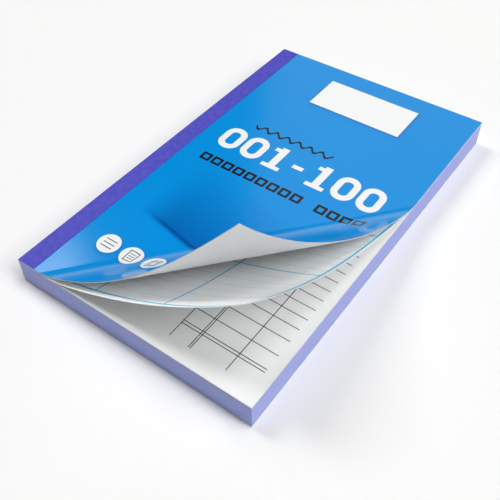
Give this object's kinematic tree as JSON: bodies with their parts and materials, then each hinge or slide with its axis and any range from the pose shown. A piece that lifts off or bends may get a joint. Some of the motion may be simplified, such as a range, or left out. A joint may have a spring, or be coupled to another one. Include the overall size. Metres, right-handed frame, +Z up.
{
  "type": "duplicate invoice book",
  "caption": "Taped cloth-spine duplicate invoice book with card covers, an index sheet, numbered sets and curled front corners.",
  "frame": {"origin": "centre of the footprint, on the face that the book lies on", "axes": "+X from the spine to the fore-edge, +Y from the foot to the head, +Z up through the front cover"},
  "size_m": [0.127, 0.21, 0.0744],
  "materials": {
    "cover_card": "printed blue and laminated outside, white inside",
    "white_paper": "uncoated",
    "yellow_paper": "uncoated",
    "page_block": "trimmed edges with a lavender tint",
    "shield_card": "plain uncoated",
    "cloth_tape": "woven, coated",
    "spine_glue": "dried film",
    "staple_wire": "bright flat wire"
  },
  "bodies": {
    "book_block": {"front_cover_strip": "cover_card", "back_cover_strip": "cover_card", "index_sheet_stub": "white_paper", "invoice_001_top_copy_stub": "white_paper", "invoice_001_duplicate_stub": "yellow_paper", "invoice_002_top_copy_stub": "white_paper", "invoice_002_duplicate_stub": "yellow_paper", "sets_003_to_010": "page_block", "sets_011_to_020": "page_block", "sets_021_to_030": "page_block", "sets_031_to_040": "page_block", "sets_041_to_050": "page_block", "sets_051_to_060": "page_block", "sets_061_to_070": "page_block", "sets_071_to_080": "page_block", "sets_081_to_090": "page_block", "sets_091_to_100": "page_block", "spine_tape": "cloth_tape", "spine_glue": "spine_glue", "staple_1": "staple_wire", "staple_2": "staple_wire"},
    "front_cover": {"front_cover": "cover_card"},
    "index_sheet": {"index_sheet": "white_paper"},
    "invoice_001_top_copy": {"invoice_001_top_copy": "white_paper"},
    "invoice_001_duplicate": {"invoice_001_duplicate": "yellow_paper"},
    "invoice_002_top_copy": {"invoice_002_top_copy": "white_paper"},
    "invoice_002_duplicate": {"invoice_002_duplicate": "yellow_paper"},
    "writing_shield": {"writing_shield": "shield_card"},
    "back_cover": {"back_cover": "cover_card"}
  },
  "joints": [
    {"name": "front_cover_hinge", "type": "hinge", "parent": "book_block", "child": "front_cover", "pos_m": [-0.05335, 0, 0.015], "axis": [0, -1, 0], "range_deg": [0, 155]},
    {"name": "index_sheet_hinge", "type": "hinge", "parent": "book_block", "child": "index_sheet", "pos_m": [-0.05335, 0, 0.015], "axis": [0, -1, 0], "range_deg": [0, 150.35]},
    {"name": "invoice_001_top_copy_hinge", "type": "hinge", "parent": "book_block", "child": "invoice_001_top_copy", "pos_m": [-0.05335, 0, 0.015], "axis": [0, -1, 0], "range_deg": [0, 145.7]},
    {"name": "invoice_001_duplicate_hinge", "type": "hinge", "parent": "book_block", "child": "invoice_001_duplicate", "pos_m": [-0.05335, 0, 0.015], "axis": [0, -1, 0], "range_deg": [0, 141.05]},
    {"name": "invoice_002_top_copy_hinge", "type": "hinge", "parent": "book_block", "child": "invoice_002_top_copy", "pos_m": [-0.05335, 0, 0.015], "axis": [0, -1, 0], "range_deg": [0, 40.3]},
    {"name": "invoice_002_duplicate_hinge", "type": "hinge", "parent": "book_block", "child": "invoice_002_duplicate", "pos_m": [-0.05335, 0, 0.015], "axis": [0, -1, 0], "range_deg": [0, 18.6]},
    {"name": "writing_shield_slide", "type": "slide", "parent": "book_block", "child": "writing_shield", "axis": [1, 0, 0], "range_m": [0, 0.08]},
    {"name": "back_cover_hinge", "type": "hinge", "parent": "book_block", "child": "back_cover", "pos_m": [-0.05335, 0, -0.0006], "axis": [0, 1, 0], "range_deg": [0, 180]}
  ],
  "couplings": [
    {"joint": "index_sheet_hinge", "follows": "front_cover_hinge", "ratio": 0.97},
    {"joint": "invoice_001_top_copy_hinge", "follows": "front_cover_hinge", "ratio": 0.94},
    {"joint": "invoice_001_duplicate_hinge", "follows": "front_cover_hinge", "ratio": 0.91},
    {"joint": "invoice_002_top_copy_hinge", "follows": "front_cover_hinge", "ratio": 0.26},
    {"joint": "invoice_002_duplicate_hinge", "follows": "front_cover_hinge", "ratio": 0.12}
  ]
}
